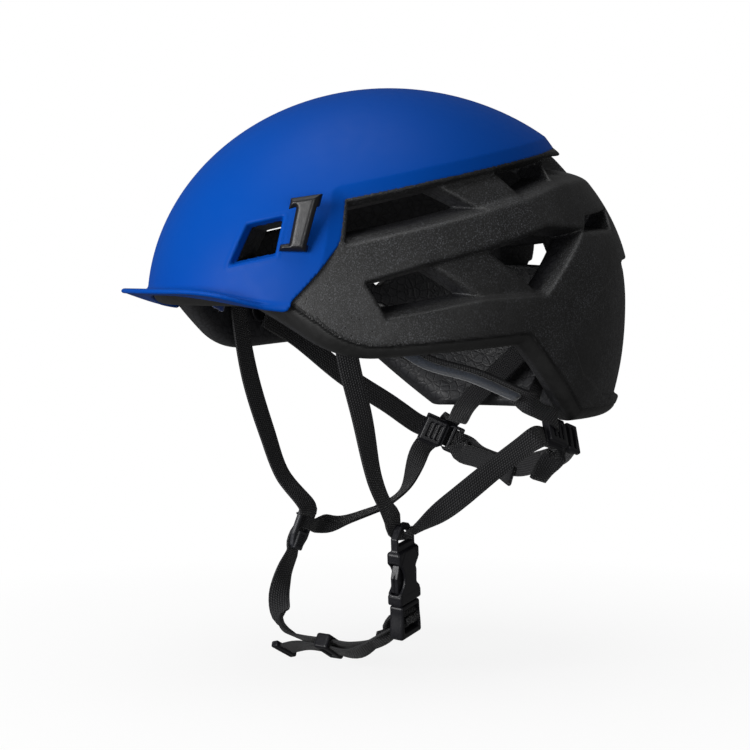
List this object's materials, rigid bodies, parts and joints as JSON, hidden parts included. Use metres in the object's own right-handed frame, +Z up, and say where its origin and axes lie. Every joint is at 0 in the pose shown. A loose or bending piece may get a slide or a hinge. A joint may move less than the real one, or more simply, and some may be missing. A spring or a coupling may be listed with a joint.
{
  "type": "climbing helmet",
  "caption": "Vented foam climbing helmet with a hard crown shell and brim, lamp clips, webbing harness and headband, strap dividers, Y adjuster and side-release chin buckle.",
  "frame": {"origin": "centre of the head opening at brim level, where the head mount is", "axes": "+Z up through the crown, the brim points to -Y, +X is the wearer's left"},
  "size_m": [0.2096, 0.2846, 0.3127],
  "materials": {
    "shell_blue": "satin royal blue moulded shell, very fine orange peel",
    "black_foam": "charcoal expanded bead foam, mottled skin with pin holes",
    "black_plastic": "black moulded nylon, fine satin",
    "slate_plastic": "dark slate moulded acetal, satin",
    "webbing": "black woven polyester webbing",
    "grey_tape": "slate grey knitted comfort tape with a stitched edge",
    "blue_fabric": "dark blue brushed knit over foam",
    "grey_fabric": "charcoal brushed knit over foam"
  },
  "bodies": {
    "root": {"back_strap_left": "webbing", "back_strap_right": "webbing", "buckle_socket": "black_plastic", "chin_strap": "webbing", "chin_strap_tail": "webbing", "crown_pad": "grey_fabric", "foam_body": "black_foam", "forehead_pad": "blue_fabric", "front_anchor_left": "black_plastic", "front_anchor_right": "black_plastic", "front_strap_left": "webbing", "front_strap_right": "webbing", "hard_shell": "shell_blue", "headband_anchor_left": "black_plastic", "headband_anchor_right": "black_plastic", "headband_left": "webbing", "headband_right": "webbing", "headband_tail_left": "webbing", "headband_tail_right": "webbing", "headband_tape_left": "grey_tape", "headband_tape_right": "grey_tape", "nape_strap": "webbing", "rear_anchor": "black_plastic", "rear_strap_left": "webbing", "rear_strap_right": "webbing", "strap_end_tab": "black_plastic"},
    "divider_left": {"divider_left": "black_plastic"},
    "divider_right": {"divider_right": "black_plastic"},
    "adjuster": {"y_adjuster_right": "slate_plastic"},
    "plug": {"buckle_plug": "black_plastic"},
    "prong_front": {"buckle_prong_front": "black_plastic"},
    "prong_rear": {"buckle_prong_rear": "black_plastic"},
    "slider": {"chin_slider": "black_plastic"},
    "clip_left": {"lamp_clip_left": "black_plastic"},
    "clip_right": {"lamp_clip_right": "black_plastic"}
  },
  "joints": [
    {"name": "buckle_release", "type": "slide", "parent": "root", "child": "plug", "axis": [-0.1503, 0.1152, -0.9819], "range_m": [0, 0.026], "deforming": ["chin_strap", "chin_strap_tail", "buckle_prong_front", "buckle_prong_rear"]},
    {"name": "prong_front_squeeze", "type": "hinge", "parent": "plug", "child": "prong_front", "pos_m": [0.0543, -0.02454, -0.16214], "axis": [-0.8574, -0.5097, 0.0714], "range_deg": [0, 6], "stiffness_Nm_per_rad": 0.05},
    {"name": "prong_rear_squeeze", "type": "hinge", "parent": "plug", "child": "prong_rear", "pos_m": [0.04938, -0.01601, -0.16038], "axis": [0.8574, 0.5097, -0.0714], "range_deg": [0, 6], "stiffness_Nm_per_rad": 0.05},
    {"name": "chin_slider_slide", "type": "slide", "parent": "root", "child": "slider", "axis": [0.8944, 0.4472, 0], "range_m": [-0.008, 0.008]},
    {"name": "adjuster_slide", "type": "slide", "parent": "root", "child": "adjuster", "axis": [0, -0.3671, -0.9302], "range_m": [-0.01, 0.01], "deforming": ["front_strap_right", "rear_strap_right", "chin_strap"]},
    {"name": "divider_left_slide", "type": "slide", "parent": "root", "child": "divider_left", "axis": [-0.2237, 0.9151, -0.3355], "range_m": [-0.008, 0.008], "deforming": ["headband_left", "rear_strap_left", "nape_strap", "back_strap_left", "headband_tail_left"]},
    {"name": "divider_right_slide", "type": "slide", "parent": "root", "child": "divider_right", "axis": [0.3159, 0.8575, -0.4062], "range_m": [-0.008, 0.008], "deforming": ["headband_right", "rear_strap_right", "nape_strap", "back_strap_right", "headband_tail_right"]},
    {"name": "clip_left_flex", "type": "hinge", "parent": "root", "child": "clip_left", "pos_m": [0.07868, -0.08676, 0.04585], "axis": [-0.6592, -0.7359, 0.1542], "range_deg": [0, 8], "stiffness_Nm_per_rad": 0.8},
    {"name": "clip_right_flex", "type": "hinge", "parent": "root", "child": "clip_right", "pos_m": [-0.07868, -0.08676, 0.04585], "axis": [-0.6592, 0.7359, -0.1542], "range_deg": [0, 8], "stiffness_Nm_per_rad": 0.8}
  ],
  "couplings": [
    {"joint": "prong_rear_squeeze", "follows": "prong_front_squeeze", "ratio": 1}
  ]
}
